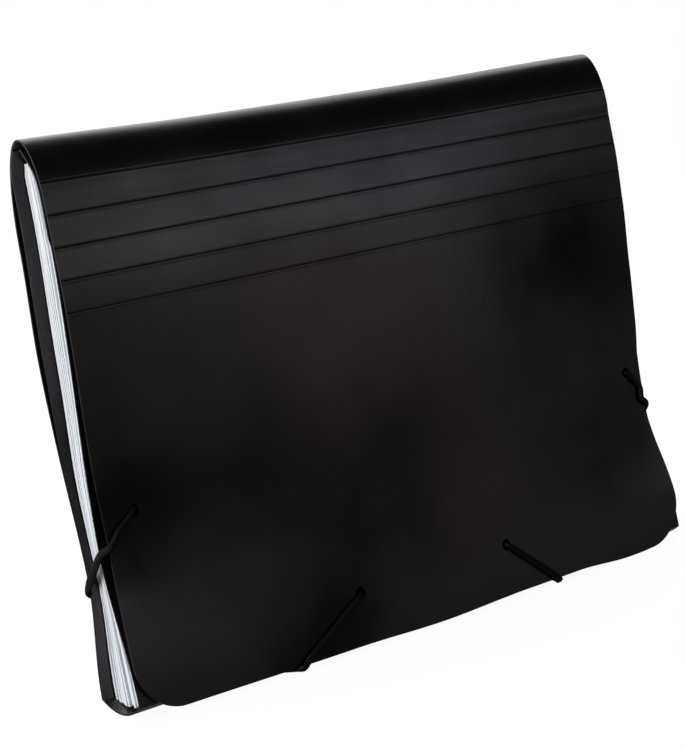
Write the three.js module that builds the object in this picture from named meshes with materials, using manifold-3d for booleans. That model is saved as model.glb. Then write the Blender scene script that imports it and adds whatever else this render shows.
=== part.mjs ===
import * as THREE from 'three';
import Module from 'manifold-3d';
import { mergeVertices } from 'three/addons/utils/BufferGeometryUtils.js';

// A landscape expanding file that stands on its long bottom edge. Millimetres, +Z up, X along the width,
// the flap and front face -Y. The bottom of the sag under the file is Z = 0.

const wasm = await Module();
wasm.setup();

// overall size
const fileWidth = 330;
const fileHeight = 246;

// sheets
const coverSheet = 0.8;
const rearSheet = 0.6;
const dividerSheet = 0.3;
const gussetSheet = 0.18;
const sheetGap = 0.3;
const rearGap = 0.8;

// the roll over the top, from the neck of the flap to the neck of the back
const ridgeBack = -2;
const hingeGap = 0.5;
const flapNeckHeight = 218;
const flapNeckFront = -14.6;
const backNeckHeight = 202;
const backNeck = 12.5;

// the flap's face, front to back, from its lower edge to the roll
const flapEdgeHeightEnds = 3.6;
const flapEdgeHeightMiddle = 1.5;
const flapFootEnds = -17;
const flapFootMiddle = -20.5;
const flapPinchEnds = -10.9;
const flapPinchMiddle = -16.6;
const flapShoulder = -15.4;
const flapShoulderHeight = 185;
const flapPinchHeight = 80;
const flapCornerRadius = 22;
const flapRowHeights = [150, 126, 102, flapPinchHeight, 63, 46, 30, 14, 0];

// the front panel under the flap
const frontFoldHeightEnds = 6.5;
const frontFoldHeightMiddle = 4;
const frontFootEnds = -13.6;
const frontFootMiddle = -15.2;
const frontPinchEnds = -5.5;
const frontPinchMiddle = -13;
const frontPinchHeight = 72;
const frontShoulder = -13.6;
const frontShoulderHeight = 204;
const panelTopHeight = 242;
const frontLeanStart = 228;
const frontTopLean = 3;

// the back, outside
const backFoldHeightEnds = 8.7;
const backFoldHeightMiddle = 5.5;
const backFootEnds = 15.5;
const backFootMiddle = 16.5;
const backPinchEnds = 8;
const backPinchMiddle = 14;
const backPinchHeight = 60;
const backShoulder = 14;
const backShoulderHeight = 155;

// the inner rear panel leans off the back and follows the roll at its top
const rearLeanStart = 75;
const rearShoulder = 10;
const rearShoulderHeight = 150;
const rearTop = 6.6;
const rearTopHeight = 215;
const rearFloorLift = 1;

// the sag of the bottom, lifted where the elastics pass under it, and how much of it each share of the
// bottom's depth takes
const bottomLift = 3.6;
const sagFlatHalf = 48;
const sagRiseHalf = 72;
const sagShares = [[0.1, 0.6], [0.24, 1], [0.76, 1], [0.9, 0.6]];

// how far in from each end the elastics pinch the file
const pinchReach = 117;

// pockets
const pocketCount = 13;
const gussetInset = 5.4;
const pleatDepth = 8.5;
const pocketFloorGap = 1.2;
const pocketFloorRise = 2.6;
const pocketTopHeight = 236;
const pocketAir = 0.65;

// score lines across the top of the flap
const scoreCount = 5;
const scoreFirstHeight = 227.2;
const scorePitch = 13.5;
const scoreHalfWidth = 0.8;
const scoreDepth = 0.3;

// elastics and their holes
const elasticDiameter = 2.8;
const elasticSides = 8;
const elasticSteps = 44;
const holeDiameter = 5;
const sideHoleInset = 16.5;
const sideHoleHeight = 87.5;
const bottomHoleInset = 120;
const bottomHoleHeight = 25.5;
const leftCrossingInset = 81;
const rightCrossingInset = 92;
const elasticClearance = 0.4;
const knotWidth = 7;
const knotDepth = 3;

const halfWidth = fileWidth / 2;
const gussetOuter = halfWidth - gussetInset;
const gussetInner = gussetOuter - pleatDepth;
const dividerHalf = gussetInner - sheetGap;

function smooth(value, from, to) {
  const share = THREE.MathUtils.clamp((value - from) / (to - from), 0, 1);
  return share * share * (3 - 2 * share);
}

function mix(from, to, share) {
  return from + (to - from) * share;
}

// 1 at the ends of the file and 0 over its middle
function pinchAt(x) {
  return 1 - smooth(halfWidth - Math.abs(x), 0, pinchReach);
}

// a smooth line through a few [height, depth] stations, upright at each of them
function depthThrough(stations, height) {
  let depth = stations[0][1];
  for (let i = 1; i < stations.length; i += 1) {
    const [low, high] = [stations[i - 1], stations[i]];
    depth += (high[1] - low[1]) * smooth(height, low[0], high[0]);
  }
  return depth;
}

function flapEdgeHeight(x) {
  return mix(flapEdgeHeightMiddle, flapEdgeHeightEnds, smooth(Math.abs(x), sagFlatHalf, sagRiseHalf));
}

// the roll's outer face is a quarter ellipse on each side of the ridge
function rollDepth(height, neck, neckHeight) {
  const rise = THREE.MathUtils.clamp((height - neckHeight) / (fileHeight - neckHeight), 0, 1);
  return ridgeBack + (neck - ridgeBack) * Math.sqrt(1 - rise * rise);
}

function flapFace(x, height) {
  if (height > flapNeckHeight) return rollDepth(height, flapNeckFront, flapNeckHeight);
  const pinch = pinchAt(x);
  return depthThrough([
    [flapEdgeHeight(x), mix(flapFootMiddle, flapFootEnds, pinch)],
    [flapPinchHeight, mix(flapPinchMiddle, flapPinchEnds, pinch)],
    [flapShoulderHeight, flapShoulder],
    [flapNeckHeight, flapNeckFront],
  ], height);
}

function frontFace(x, height) {
  const pinch = pinchAt(x);
  const face = depthThrough([
    [mix(frontFoldHeightMiddle, frontFoldHeightEnds, pinch), mix(frontFootMiddle, frontFootEnds, pinch)],
    [frontPinchHeight, mix(frontPinchMiddle, frontPinchEnds, pinch)],
    [frontShoulderHeight, frontShoulder],
  ], height);
  const underRoll = rollDepth(height, flapNeckFront, flapNeckHeight) + 2 * coverSheet + sheetGap;
  const lean = frontTopLean * smooth(height, frontLeanStart, panelTopHeight);
  return height > frontShoulderHeight ? Math.max(face, underRoll) + lean : face;
}

function backFace(x, height) {
  if (height > backNeckHeight) return rollDepth(height, backNeck, backNeckHeight);
  const pinch = pinchAt(x);
  return depthThrough([
    [mix(backFoldHeightMiddle, backFoldHeightEnds, pinch), mix(backFootMiddle, backFootEnds, pinch)],
    [backPinchHeight, mix(backPinchMiddle, backPinchEnds, pinch)],
    [backShoulderHeight, backShoulder],
    [backNeckHeight, backNeck],
  ], height);
}

// outer face of the inner rear panel: against the back low down, leaning off it higher up, under the roll
function rearFace(x, height) {
  const against = backFace(x, height) - coverSheet - rearGap;
  const shoulder = Math.min(rearShoulder, backShoulder - coverSheet - rearGap);
  const leaning = depthThrough([
    [rearShoulderHeight, shoulder],
    [rearTopHeight, rearTop + rearSheet],
  ], height);
  return Math.min(against, mix(against, leaning, smooth(height, rearLeanStart, rearShoulderHeight)));
}

// heights at which the stiff sheets have a row of points
function panelHeights(footHeight) {
  return [footHeight, 24, 42, 62, 92, 128, 166, frontShoulderHeight, 222, 234, panelTopHeight];
}

// heights at which the thin sheets have a row of points
function pocketHeights(footHeight) {
  return [footHeight, 32, 62, 104, frontShoulderHeight, 226, pocketTopHeight];
}

function mirrored(places) {
  return [...places.map((place) => -place), ...places.slice().reverse()];
}

// places across the width at which the stiff sheets have a column of points
function panelColumns() {
  return mirrored([halfWidth, gussetOuter, gussetInner, 128, 100, sagRiseHalf, sagFlatHalf]);
}

function dividerColumns() {
  return mirrored([dividerHalf, 118, 84, 40]);
}

const sharpestMitre = 0.4;

// the same line moved sideways, to its left as it runs, with mitred corners
function offsetLine(line, distance) {
  return line.map((point, i) => {
    const before = line[Math.max(i - 1, 0)];
    const after = line[Math.min(i + 1, line.length - 1)];
    const into = point.clone().sub(before).normalize();
    const out = after.clone().sub(point).normalize();
    if (i === 0) into.copy(out);
    if (i === line.length - 1) out.copy(into);
    const along = into.clone().add(out).normalize();
    const stretch = distance / Math.max(along.dot(into), sharpestMitre);
    return new THREE.Vector2(point.x - along.y * stretch, point.y + along.x * stretch);
  });
}

function solidOf(geometry) {
  geometry.deleteAttribute('normal');
  geometry.deleteAttribute('uv');
  const merged = mergeVertices(geometry, 1e-5);
  return new wasm.Manifold(new wasm.Mesh({
    numProp: 3,
    vertProperties: new Float32Array(merged.attributes.position.array),
    triVerts: new Uint32Array(merged.index.array),
  }));
}

function geometryOf(solid) {
  const mesh = solid.getMesh();
  const geometry = new THREE.BufferGeometry();
  geometry.setAttribute('position', new THREE.BufferAttribute(mesh.vertProperties, 3));
  geometry.setIndex(new THREE.BufferAttribute(mesh.triVerts, 1));
  geometry.computeVertexNormals();
  return geometry;
}

// closes rings of points into one solid. Each ring runs along one side of a sheet and back along the other,
// and both sides are cut into triangles the same way, so that a bent sheet keeps its thickness
function loft(rings, capTriangles) {
  const geometry = new THREE.BufferGeometry();
  const size = rings[0].length;
  const faces = [];
  for (let r = 0; r + 1 < rings.length; r += 1) {
    for (let i = 0; i < size; i += 1) {
      const a = r * size + i;
      const b = r * size + (i + 1) % size;
      if (2 * i < size) faces.push(a, b, b + size, a, b + size, a + size);
      else faces.push(a, b, a + size, b, b + size, a + size);
    }
  }
  const last = (rings.length - 1) * size;
  for (const [a, b, c] of capTriangles) {
    faces.push(a, c, b, last + a, last + b, last + c);
  }
  geometry.setFromPoints(rings.flat());
  geometry.setIndex(faces);
  return geometry;
}

// cap of a long thin strip whose outline runs along one side and back along the other
function stripCap(rowCount) {
  const triangles = [];
  for (let i = 0; i + 1 < rowCount; i += 1) {
    const far = 2 * rowCount - 1 - i;
    triangles.push([i, i + 1, far - 1], [i, far - 1, far]);
  }
  return triangles;
}

// a sheet whose outer face is lineAt(x), a line of (depth, height) points, and whose inner face is offset
// from it by the thickness
function sheet(lineAt, places, thickness, groove = () => 0) {
  let rowCount = 0;
  const rings = places.map((x) => {
    const line = lineAt(x);
    const inner = offsetLine(line, thickness);
    const outer = line.map((point, i) => point.clone().lerp(inner[i], groove(i) / thickness));
    rowCount = line.length;
    return [...outer, ...inner.reverse()].map((point) => new THREE.Vector3(x, point.x, point.y));
  });
  return loft(rings, stripCap(rowCount));
}

const rollSteps = 6;
const firstRollAngle = Math.PI / 2 - 0.07;

// points of the roll from the ridge down to a neck, evenly spaced round the ellipse after the first one
function rollPoints(neck, neckHeight) {
  const side = Math.sign(neck - ridgeBack);
  const points = [new THREE.Vector2(ridgeBack + (side * hingeGap) / 2, fileHeight)];
  for (let i = 0; i < rollSteps; i += 1) {
    const angle = i === 0 ? firstRollAngle : (Math.PI / 2) * (1 - i / rollSteps);
    points.push(new THREE.Vector2(
      ridgeBack + (neck - ridgeBack) * Math.cos(angle),
      neckHeight + (fileHeight - neckHeight) * Math.sin(angle),
    ));
  }
  return points;
}

// lowest line of the bottom
function bottomHeight(x) {
  return bottomLift * smooth(Math.abs(x), sagFlatHalf, sagRiseHalf);
}

// the cover's outer face, from the ridge down the back, under the pockets and up the front panel
function coverLine(x) {
  const pinch = pinchAt(x);
  const backFold = mix(backFoldHeightMiddle, backFoldHeightEnds, pinch);
  const frontFold = mix(frontFoldHeightMiddle, frontFoldHeightEnds, pinch);
  const line = rollPoints(backNeck, backNeckHeight);
  line.push(new THREE.Vector2(backNeck, backNeckHeight));
  const backHeights = panelHeights(backFold).filter((height) => height < backNeckHeight);
  for (const height of backHeights.reverse()) {
    line.push(new THREE.Vector2(backFace(x, height), height));
  }
  const [from, to] = [backFace(x, backFold), frontFace(x, frontFold)];
  for (const [share, sag] of sagShares) {
    const level = mix(backFold, frontFold, share);
    line.push(new THREE.Vector2(mix(from, to, share), mix(level, bottomHeight(x), sag)));
  }
  for (const height of panelHeights(frontFold)) {
    line.push(new THREE.Vector2(frontFace(x, height), height));
  }
  return line;
}

function coverGeometry() {
  return sheet((x) => coverLine(x).reverse(), panelColumns(), coverSheet);
}

function scoreHeights() {
  return Array.from({ length: scoreCount }, (_, i) => scoreFirstHeight - i * scorePitch);
}

// rows of the flap below the roll's top, from the highest down, with three rows to each score line
function flapRows() {
  const rows = flapRowHeights.map((height) => ({ height, depth: 0 }));
  for (const height of scoreHeights()) {
    rows.push({ height: height + scoreHalfWidth, depth: 0 });
    rows.push({ height, depth: scoreDepth });
    rows.push({ height: height - scoreHalfWidth, depth: 0 });
  }
  return rows.sort((a, b) => b.height - a.height);
}

function flapRoll() {
  const top = scoreFirstHeight + 2 * scoreHalfWidth;
  return rollPoints(flapNeckFront, flapNeckHeight).filter((point) => point.y > top);
}

// the flap's outer face, from the ridge down to its lower edge
function flapLine(x) {
  const face = flapRows().map(({ height }) => {
    const level = Math.max(height, flapEdgeHeight(x));
    return new THREE.Vector2(flapFace(x, level), level);
  });
  return [...flapRoll(), ...face];
}

function holePlaces() {
  const places = [];
  for (const side of [-1, 1]) {
    places.push([side * (halfWidth - sideHoleInset), sideHoleHeight]);
    places.push([side * (halfWidth - bottomHoleInset), bottomHoleHeight]);
  }
  return places;
}

// what is cut away outside one of the flap's rounded lower corners
function cornerCutter(side) {
  const corner = new THREE.Vector2(side * halfWidth, flapEdgeHeightEnds);
  const centre = new THREE.Vector2(corner.x - side * flapCornerRadius, corner.y + flapCornerRadius);
  const margin = 2;
  const outline = [];
  const steps = 6;
  for (let i = 0; i <= steps; i += 1) {
    const angle = (Math.PI / 2) * (i / steps);
    outline.push(new THREE.Vector2(
      centre.x + side * flapCornerRadius * Math.cos(angle),
      centre.y - flapCornerRadius * Math.sin(angle),
    ));
  }
  outline.push(new THREE.Vector2(centre.x, corner.y - margin));
  outline.push(new THREE.Vector2(corner.x + side * margin, corner.y - margin));
  outline.push(new THREE.Vector2(corner.x + side * margin, centre.y));
  const depth = 2 * Math.abs(flapFootMiddle);
  const geometry = new THREE.ExtrudeGeometry(new THREE.Shape(outline), { depth, bevelEnabled: false });
  return geometry.rotateX(Math.PI / 2);
}

function holeCutter([x, height]) {
  const face = flapFace(x, height);
  const geometry = new THREE.CylinderGeometry(holeDiameter / 2, holeDiameter / 2, 6 * coverSheet, 12);
  return geometry.translate(x, face, height);
}

function flapGeometry() {
  const grooves = [...flapRoll().map(() => 0), ...flapRows().map((row) => row.depth)];
  let flap = solidOf(sheet(flapLine, panelColumns(), coverSheet, (i) => grooves[i]));
  for (const side of [-1, 1]) {
    flap = flap.subtract(solidOf(cornerCutter(side)));
  }
  for (const place of holePlaces()) {
    flap = flap.subtract(solidOf(holeCutter(place)));
  }
  return geometryOf(flap);
}

// the foot of a pocket: the outer ones stand higher in the curve of the bottom. Share 0 is the front of the
// pocket block and share 1 is its back
function pocketFloor(x, share) {
  return bottomHeight(x) + coverSheet + pocketFloorGap + pocketFloorRise * (2 * share - 1) ** 2;
}

function rearPanelGeometry() {
  const lineAt = (x) => panelHeights(pocketFloor(x, 1) + rearFloorLift).map(
    (height) => new THREE.Vector2(rearFace(x, height), height),
  );
  return sheet(lineAt, panelColumns(), rearSheet);
}

function pocketDepth(x, height, share) {
  const front = frontFace(x, height) + coverSheet + pocketAir;
  const back = rearFace(x, height) - rearSheet - pocketAir;
  return mix(front, back, share);
}

function dividerGeometry(index) {
  const share = index / pocketCount;
  const lineAt = (x) => pocketHeights(pocketFloor(x, share)).map((height) => {
    const depth = pocketDepth(x, height, share) + dividerSheet / 2;
    return new THREE.Vector2(depth, height);
  });
  return sheet(lineAt, dividerColumns(), dividerSheet);
}

// outline of the pleated end seen from above, at one row: each pleat runs out to its outer fold and back
function pleatOutline(side, row) {
  const half = gussetSheet / 2;
  const legs = 2 * pocketCount;
  const inner = side * gussetInner;
  const outer = side * gussetOuter;
  const corner = (x, trim, leg, offset) => {
    const share = (leg + 0.5) / legs;
    const height = pocketHeights(pocketFloor(outer, share))[row];
    return new THREE.Vector3(x + trim, pocketDepth(x, height, share) + offset, height);
  };
  const front = [];
  const back = [];
  for (let leg = 0; leg < legs; leg += 1) {
    const outward = leg % 2 === 0;
    const [start, end] = outward ? [inner, outer] : [outer, inner];
    const turn = outward ? 1 : -1;
    const startTrim = leg === 0 ? 0 : turn * side * half;
    const endTrim = leg === legs - 1 ? 0 : turn * side * half;
    front.push(corner(start, -startTrim, leg, -turn * half));
    front.push(corner(end, endTrim, leg, -turn * half));
    back.push(corner(start, startTrim, leg, turn * half));
    back.push(corner(end, -endTrim, leg, turn * half));
  }
  return [...front, ...back.reverse()];
}

function gussetGeometry(side) {
  const rings = pocketHeights(0).map((height, row) => pleatOutline(side, row));
  return loft(side > 0 ? rings : rings.map((ring) => ring.reverse()), stripCap(4 * pocketCount));
}

// depth of a sheet's outer face where it is flat between two columns and two rows
function depthOn(lineAt, x, height) {
  const places = panelColumns();
  const right = Math.max(places.findIndex((place) => place >= x), 1);
  const share = (x - places[right - 1]) / (places[right] - places[right - 1]);
  const depths = [right - 1, right].map((column) => {
    const line = lineAt(places[column]);
    const low = line.findIndex((point, i) => i > 0 && point.y <= height);
    const [a, b] = low < 0 ? line.slice(-2) : [line[low - 1], line[low]];
    return mix(a.x, b.x, (height - a.y) / (b.y - a.y));
  });
  return mix(depths[0], depths[1], share);
}

// the elastic's centre line: from a knot behind the side hole, over the flap, round the side edges, down
// across the back, under the file and up the flap to a knot behind the bottom hole
function elasticRoute(side, crossingInset) {
  const radius = elasticDiameter / 2;
  const lift = radius + elasticClearance;
  const at = (inset, depth, height) => new THREE.Vector3(side * (halfWidth - inset), depth, height);
  const flapDepth = (inset, height) => depthOn(flapLine, side * (halfWidth - inset), height);
  const backDepth = (inset, height) => depthOn(coverLine, side * (halfWidth - inset), height);
  const onFlap = (inset, height) => at(inset, flapDepth(inset, height) - lift, height);
  const onBack = (inset, height) => at(inset, backDepth(inset, height) + lift, height);
  const inHole = (inset, height, depth) => at(inset, flapDepth(inset, height) + depth, height);
  const knotCentre = coverSheet + elasticClearance + knotDepth / 2;
  const flapEdge = flapDepth(0, 76);
  const backEdge = backDepth(0, 62);
  const corner = 0.88 * lift;
  const under = radius + sheetGap;
  const backInset = crossingInset - 18;
  const backFold = mix(backFoldHeightMiddle, backFoldHeightEnds, pinchAt(halfWidth - backInset));
  const backFoot = backDepth(backInset, backFold + 1);
  const flapLow = flapEdgeHeightEnds;
  const flapFoot = flapDepth(crossingInset, flapLow);
  const upFlap = (share) => onFlap(
    mix(crossingInset, bottomHoleInset, share),
    mix(flapLow, bottomHoleHeight, share),
  );
  return [
    inHole(sideHoleInset, sideHoleHeight, knotCentre),
    inHole(sideHoleInset, sideHoleHeight, 0),
    inHole(sideHoleInset - 0.6, sideHoleHeight - 0.4, -0.8 * lift),
    onFlap(sideHoleInset - 3.5, sideHoleHeight - 2.4),
    onFlap(9, 82.5),
    onFlap(2.5, 78.2),
    at(-corner, flapEdge - corner, 76),
    at(-lift, flapEdge + 3, 74),
    at(-lift, mix(flapEdge, backEdge, 0.55), 69.5),
    at(-lift, backEdge - 1.5, 63.5),
    at(-corner, backEdge + corner, 61),
    onBack(4, 57.5),
    onBack(22, 43),
    onBack(40, 29),
    onBack(backInset - 9, backFold + 9),
    onBack(backInset - 3, backFold + 3),
    at(backInset - 0.6, backFoot + lift, backFold),
    at(backInset + 1, backFoot + 0.5 * lift, backFold - lift),
    at(backInset + 2.6, backFoot - 2, backFold - 1.8 * lift),
    at(backInset + 6, 8, under),
    at(crossingInset - 5, -6, under),
    at(crossingInset - 1, flapFoot + 2, under),
    at(crossingInset, flapFoot - corner, flapLow - corner),
    upFlap(0.14),
    upFlap(0.5),
    upFlap(0.88),
    inHole(bottomHoleInset - 0.4, bottomHoleHeight - 0.4, -0.8 * lift),
    inHole(bottomHoleInset, bottomHoleHeight, 0),
    inHole(bottomHoleInset, bottomHoleHeight, knotCentre),
  ];
}

function elasticGeometry(side, crossingInset) {
  const route = elasticRoute(side, crossingInset);
  const path = new THREE.CatmullRomCurve3(route, false, 'centripetal');
  const section = new THREE.Shape();
  for (let i = 0; i < elasticSides; i += 1) {
    const angle = (2 * Math.PI * i) / elasticSides;
    const corner = [Math.cos(angle), Math.sin(angle)].map((part) => (part * elasticDiameter) / 2);
    if (i === 0) section.moveTo(...corner);
    else section.lineTo(...corner);
  }
  const cord = new THREE.ExtrudeGeometry(
    section,
    { steps: elasticSteps, extrudePath: path, bevelEnabled: false },
  );
  let elastic = solidOf(cord);
  for (const end of [route[0], route[route.length - 1]]) {
    const knot = new THREE.SphereGeometry(knotWidth / 2, 8, 5);
    knot.scale(1, knotDepth / knotWidth, 1);
    knot.translate(end.x, end.y, end.z);
    elastic = elastic.add(solidOf(knot));
  }
  return geometryOf(elastic);
}

function blackPlastic() {
  return new THREE.MeshStandardMaterial({ color: 0x0c0b0b, roughness: 0.38, metalness: 0 });
}

function whiteFilm() {
  return new THREE.MeshStandardMaterial({ color: 0xe4e6ee, roughness: 0.45, metalness: 0 });
}

function blackElastic() {
  return new THREE.MeshStandardMaterial({ color: 0x0a0a0b, roughness: 0.85, metalness: 0 });
}

function piece(name, geometry, material) {
  const mesh = new THREE.Mesh(geometry, material);
  mesh.name = name;
  return mesh;
}

const expandingFile = new THREE.Group();
expandingFile.add(piece('cover', coverGeometry(), blackPlastic()));
expandingFile.add(piece('flap', flapGeometry(), blackPlastic()));
expandingFile.add(piece('rear_panel', rearPanelGeometry(), blackPlastic()));
expandingFile.add(piece('left_gusset', gussetGeometry(-1), whiteFilm()));
expandingFile.add(piece('right_gusset', gussetGeometry(1), whiteFilm()));
for (let index = 1; index < pocketCount; index += 1) {
  const name = `divider_${String(index).padStart(2, '0')}`;
  expandingFile.add(piece(name, dividerGeometry(index), whiteFilm()));
}
expandingFile.add(piece('left_elastic', elasticGeometry(-1, leftCrossingInset), blackElastic()));
expandingFile.add(piece('right_elastic', elasticGeometry(1, rightCrossingInset), blackElastic()));

// the origin is under the middle of the whole file, elastics included
const middle = new THREE.Box3().setFromObject(expandingFile).getCenter(new THREE.Vector3());
expandingFile.position.set(-middle.x, -middle.y, 0);

export default expandingFile;
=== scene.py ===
import math

import bpy
import bmesh
import numpy as np
from mathutils import Matrix, Vector


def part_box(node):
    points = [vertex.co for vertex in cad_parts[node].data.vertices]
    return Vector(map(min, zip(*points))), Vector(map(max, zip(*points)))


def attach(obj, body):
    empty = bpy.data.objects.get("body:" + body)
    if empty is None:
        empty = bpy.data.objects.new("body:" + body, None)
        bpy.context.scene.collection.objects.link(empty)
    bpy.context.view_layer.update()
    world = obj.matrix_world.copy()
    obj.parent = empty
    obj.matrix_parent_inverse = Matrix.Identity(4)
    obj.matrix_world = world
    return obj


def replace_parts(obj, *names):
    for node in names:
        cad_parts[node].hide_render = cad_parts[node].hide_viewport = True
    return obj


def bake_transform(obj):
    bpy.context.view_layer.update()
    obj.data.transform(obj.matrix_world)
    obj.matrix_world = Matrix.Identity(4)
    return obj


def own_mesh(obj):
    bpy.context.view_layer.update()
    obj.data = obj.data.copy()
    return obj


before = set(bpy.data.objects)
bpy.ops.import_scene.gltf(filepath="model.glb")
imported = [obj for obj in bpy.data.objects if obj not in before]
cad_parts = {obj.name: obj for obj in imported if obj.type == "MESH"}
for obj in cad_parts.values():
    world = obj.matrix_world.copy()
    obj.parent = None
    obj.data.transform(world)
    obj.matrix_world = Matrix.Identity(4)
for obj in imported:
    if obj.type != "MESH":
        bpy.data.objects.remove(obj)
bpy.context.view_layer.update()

scene = bpy.context.scene
MM = 0.001

# The camera stands to the left of the file and a little above it, and is rolled, so that the file leans in
# the picture. Its place was solved from the ends of the score lines and the lower corners.
PICTURE_LONG_SIDE = 750
FOCAL_PIXELS = 2350
SENSOR = 36
CAMERA_PLACE = Vector((-0.676, -0.8312, 0.2106))
CAMERA_YAW = math.radians(38.31)
CAMERA_PITCH = math.radians(-4.90)
CAMERA_ROLL = math.radians(-10.28)

ahead = Vector((
    math.sin(CAMERA_YAW) * math.cos(CAMERA_PITCH),
    math.cos(CAMERA_YAW) * math.cos(CAMERA_PITCH),
    math.sin(CAMERA_PITCH),
))
level_right = Vector((math.cos(CAMERA_YAW), -math.sin(CAMERA_YAW), 0))
level_up = level_right.cross(ahead)
camera_right = math.cos(CAMERA_ROLL) * level_right + math.sin(CAMERA_ROLL) * level_up
camera_up = camera_right.cross(ahead)
camera = bpy.data.objects.new("camera", bpy.data.cameras.new("camera"))
scene.collection.objects.link(camera)
scene.camera = camera
camera.data.sensor_width = SENSOR
camera.data.lens = FOCAL_PIXELS / PICTURE_LONG_SIDE * SENSOR
camera.data.clip_start = 0.01
camera.matrix_world = Matrix.Translation(CAMERA_PLACE) @ Matrix(
    (camera_right, camera_up, -ahead)
).transposed().to_4x4()

# The wrap: one sheet of black polypropylene that is the back, rolls over the top and hangs down the front
# as the flap. It is cut from flat sheet, scored five times across for the thicker file, punched with four
# holes and bent over the top while warm. All shape values are in millimetres, as the sheet is measured.
FILE_WIDTH = 330
FILE_HEIGHT = 246
HALF_WIDTH = FILE_WIDTH / 2
SHEET = 0.8
RIDGE = -2
HINGE_GAP = 0.5
FLAP_NECK_HEIGHT = 218
FLAP_NECK = -14.6
BACK_NECK_HEIGHT = 202
BACK_NECK = 11.7
FLAP_EDGE_ENDS = 2.4
FLAP_EDGE_MIDDLE = 1.1
FLAP_FOOT_ENDS = -15.8
FLAP_FOOT_MIDDLE = -20.5
FLAP_PINCH_ENDS = -10.9
FLAP_PINCH_MIDDLE = -16.6
FLAP_PINCH_HEIGHT = 80
FLAP_SHOULDER = -15.4
FLAP_SHOULDER_HEIGHT = 185
CORNER_RADIUS = 22
EDGE_CURL = 2.5
EDGE_CURL_MORE_RIGHT = 1
EDGE_CURL_HEIGHT = 72
EDGE_CURL_REACH = 26
RIGHT_DROP = 2.1
RIGHT_DROP_SPAN = (88, 125)
RIGHT_DROP_HEIGHTS = (8, 46)
RIGHT_TIP_LIFT = 1.6
RIGHT_TIP_START = 130
RIGHT_PULL_START = 60
# how far the right end is pulled in at each height, as height and depth
RIGHT_PULL = [(20, -1.1), (55, 2.1), (88, 3.9), (112, 3), (140, 2.5), (172, 1.3), (200, 0.3)]
RIDGE_SAG = 1.3
RIDGE_SAG_START = 205
RIDGE_SAG_REACH = 110
RIDGE_SAG_MIDDLE = -12
RIDGE_LEFT_RISE = 0.6
BACK_FOLD_ENDS = 8.7
BACK_FOLD_MIDDLE = 5.5
BACK_FOOT_ENDS = 14.8
BACK_FOOT_MIDDLE = 16.5
BACK_PINCH_ENDS = 8
BACK_PINCH_MIDDLE = 14
BACK_PINCH_HEIGHT = 60
BACK_PINCH_BULGE = 0.7
BACK_BULGE_HEIGHT = 102
BACK_BULGE_REACH = 28
BACK_SHOULDER = 14
BACK_SHOULDER_HEIGHT = 155
SAG_FLAT_HALF = 48
SAG_RISE_HALF = 72
EDGE_RISE_HALF = 62
PINCH_REACH = 117
SCORE_HEIGHTS = [227.2 - 13.5 * i for i in range(5)]
SCORE_DEPTH = 0.2
SCORE_LIP = 0.06
SCORE_HALF_WIDTH = 0.4
HOLE_RADIUS = 2.6
HOLES = {
    "left": {"side": (-148.5, 87.5), "bottom": (-45, 25.5)},
    "right": {"side": (153, 87), "bottom": (45, 25.5)},
}
DEPTH_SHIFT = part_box("flap")[1].y / MM - (RIDGE - HINGE_GAP / 2)


def smooth(value, low, high):
    share = np.clip((value - low) / (high - low), 0, 1)
    return share * share * (3 - 2 * share)


def mix(low, high, share):
    return low + (high - low) * share


def hump(value, middle, reach):
    return np.exp(-(((value - middle) / reach) ** 2))


def pinch_at(x):
    """1 at the ends of the file, where the elastics pull it in, and 0 over its middle."""
    return 1 - smooth(HALF_WIDTH - np.abs(x), 0, PINCH_REACH)


def depth_through(stations, height):
    depth = stations[0][1]
    for (low, near), (high, far) in zip(stations, stations[1:]):
        depth = depth + (far - near) * smooth(height, low, high)
    return depth


def flap_edge(x):
    return mix(FLAP_EDGE_MIDDLE, FLAP_EDGE_ENDS, smooth(np.abs(x), 0, EDGE_RISE_HALF))


def back_fold(x):
    return mix(BACK_FOLD_MIDDLE, BACK_FOLD_ENDS, pinch_at(x))


def roll_depth(height, neck, neck_height):
    rise = np.clip((height - neck_height) / (FILE_HEIGHT - neck_height), 0, 1)
    return RIDGE + (neck - RIDGE) * np.sqrt(1 - rise * rise)


def ridge_sag(x, height):
    """The top hangs down a little between its stiffer ends, of which the left one stands a little higher."""
    over_width = np.clip((HALF_WIDTH - np.abs(x - RIDGE_SAG_MIDDLE)) / RIDGE_SAG_REACH, 0, 1)
    sag = RIDGE_SAG * smooth(over_width, 0, 1) - RIDGE_LEFT_RISE * smooth(-x, 0, HALF_WIDTH)
    return sag * smooth(height, RIDGE_SAG_START, FILE_HEIGHT)


def end_drop(x, height):
    """The bottom hangs lower to the right of where the right elastic lifts it, and rises again at its tip."""
    drop = RIGHT_DROP * smooth(x, *RIGHT_DROP_SPAN) - RIGHT_TIP_LIFT * smooth(x, RIGHT_TIP_START, HALF_WIDTH)
    return drop * (1 - smooth(height, *RIGHT_DROP_HEIGHTS))


def right_end_pull(x, height):
    """How much further the right elastic pulls its end in than the left one does."""
    return smooth(x, RIGHT_PULL_START, HALF_WIDTH) * depth_through(RIGHT_PULL, height)


def flap_face(x, height):
    pinch = pinch_at(x)
    face = depth_through([
        (flap_edge(x), mix(FLAP_FOOT_MIDDLE, FLAP_FOOT_ENDS, pinch)),
        (FLAP_PINCH_HEIGHT, mix(FLAP_PINCH_MIDDLE, FLAP_PINCH_ENDS, pinch)),
        (FLAP_SHOULDER_HEIGHT, FLAP_SHOULDER),
        (FLAP_NECK_HEIGHT, FLAP_NECK),
    ], height)
    face = face + right_end_pull(x, height)
    return np.where(height > FLAP_NECK_HEIGHT, roll_depth(height, FLAP_NECK, FLAP_NECK_HEIGHT), face)


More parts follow.
